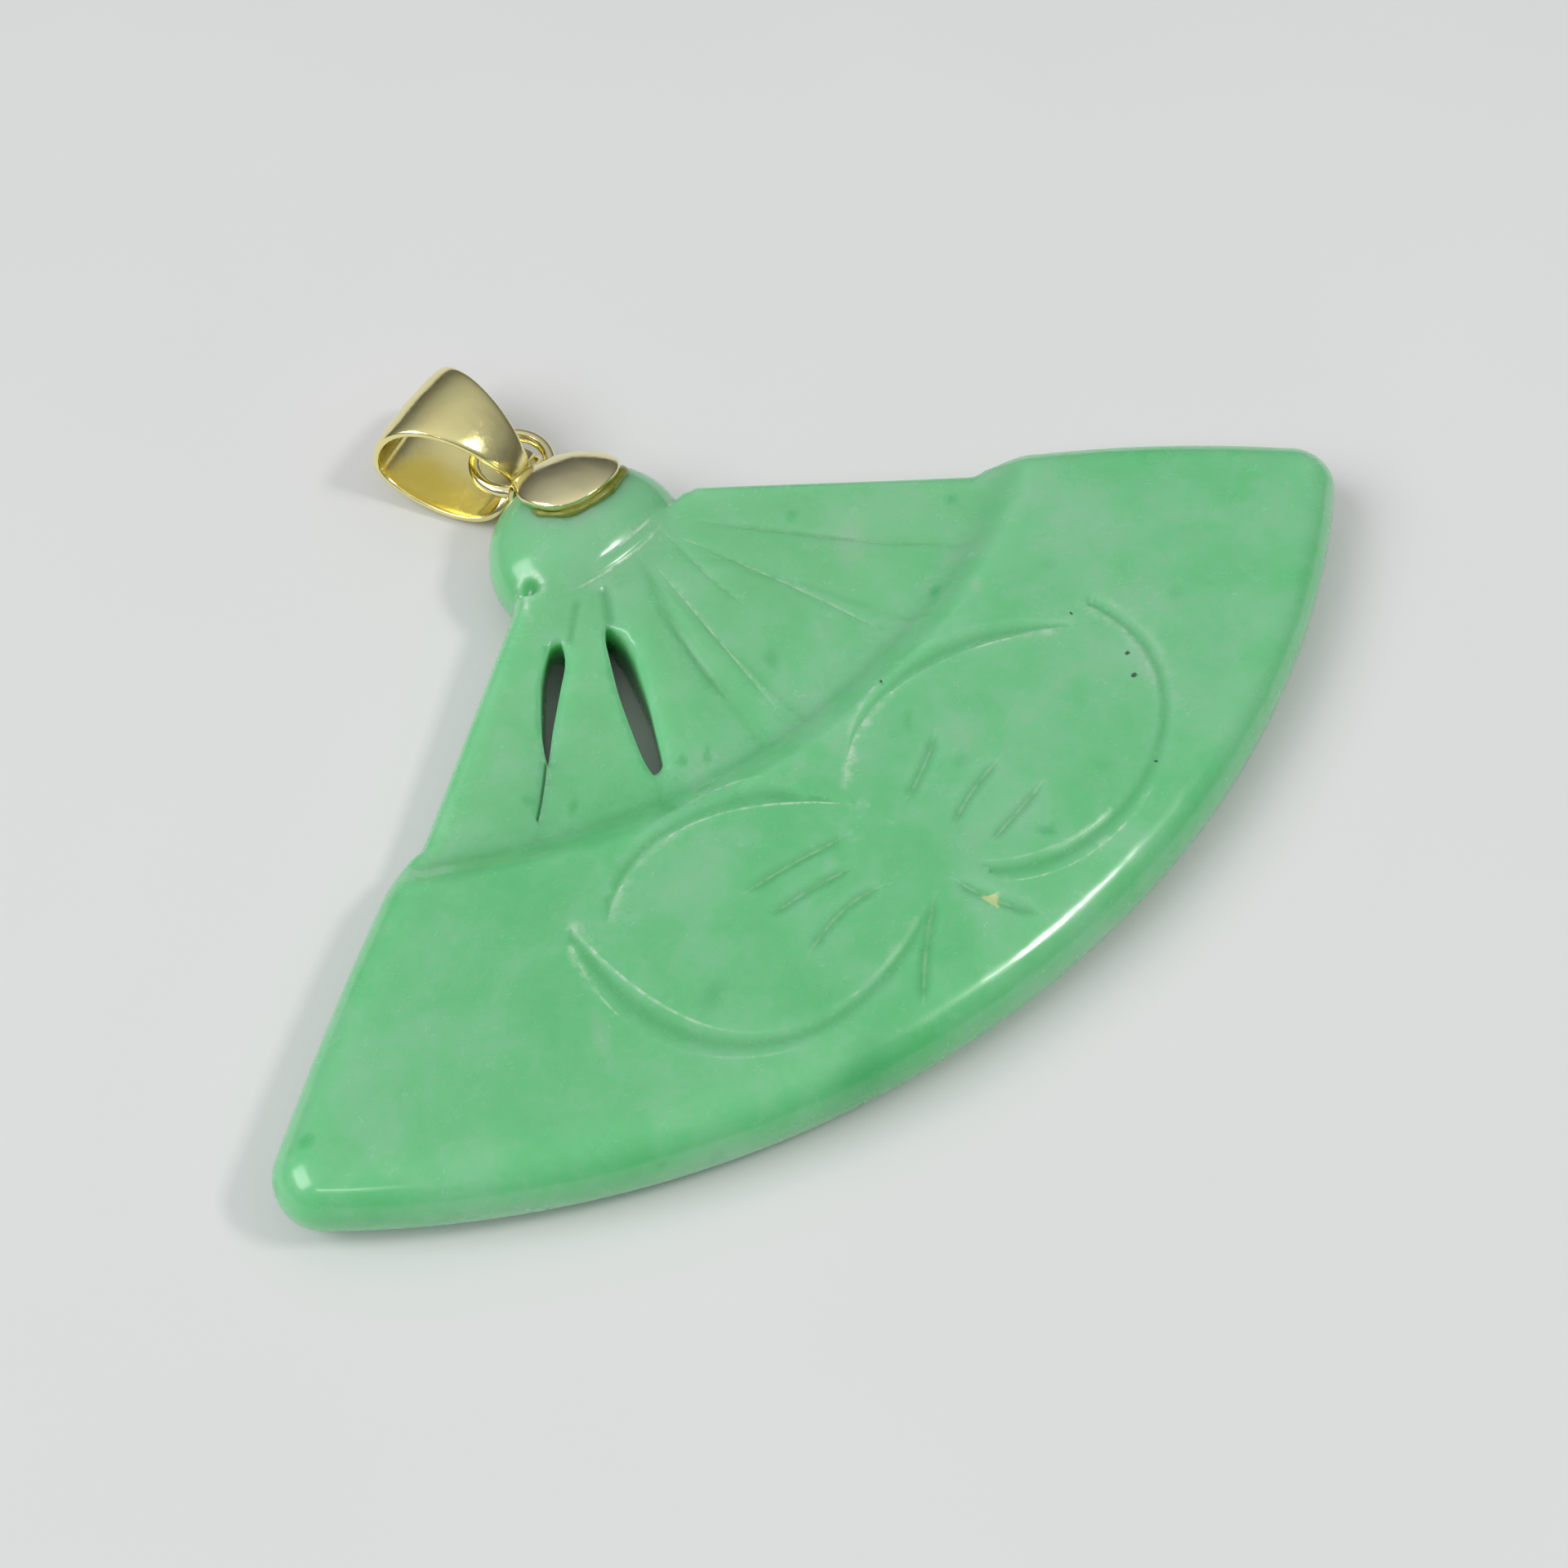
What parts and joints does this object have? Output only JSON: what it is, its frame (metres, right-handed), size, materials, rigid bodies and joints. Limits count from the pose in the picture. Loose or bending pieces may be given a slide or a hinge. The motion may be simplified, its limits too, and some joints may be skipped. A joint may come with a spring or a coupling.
{
  "type": "jadeite fan pendant",
  "caption": "Carved stone pendant in the shape of an open folding fan, with a gold cap, ring and teardrop bail for a chain.",
  "frame": {"origin": "centre of the bounding box's underside: the plane that the flat back lies on", "axes": "+X across the fan's width, +Y from the fan's outer arc towards the bail, +Z out of the carved face"},
  "size_m": [0.0398, 0.0292, 0.0036],
  "materials": {
    "jadeite": "translucent apple-green jadeite, polished to a waxy gloss",
    "gold": "yellow gold, mirror polished",
    "bail_gold": "yellow gold, mirror polished"
  },
  "bodies": {
    "root": {"jade_fan": "jadeite", "gold_cap": "gold", "bail": "bail_gold"}
  },
  "joints": []
}
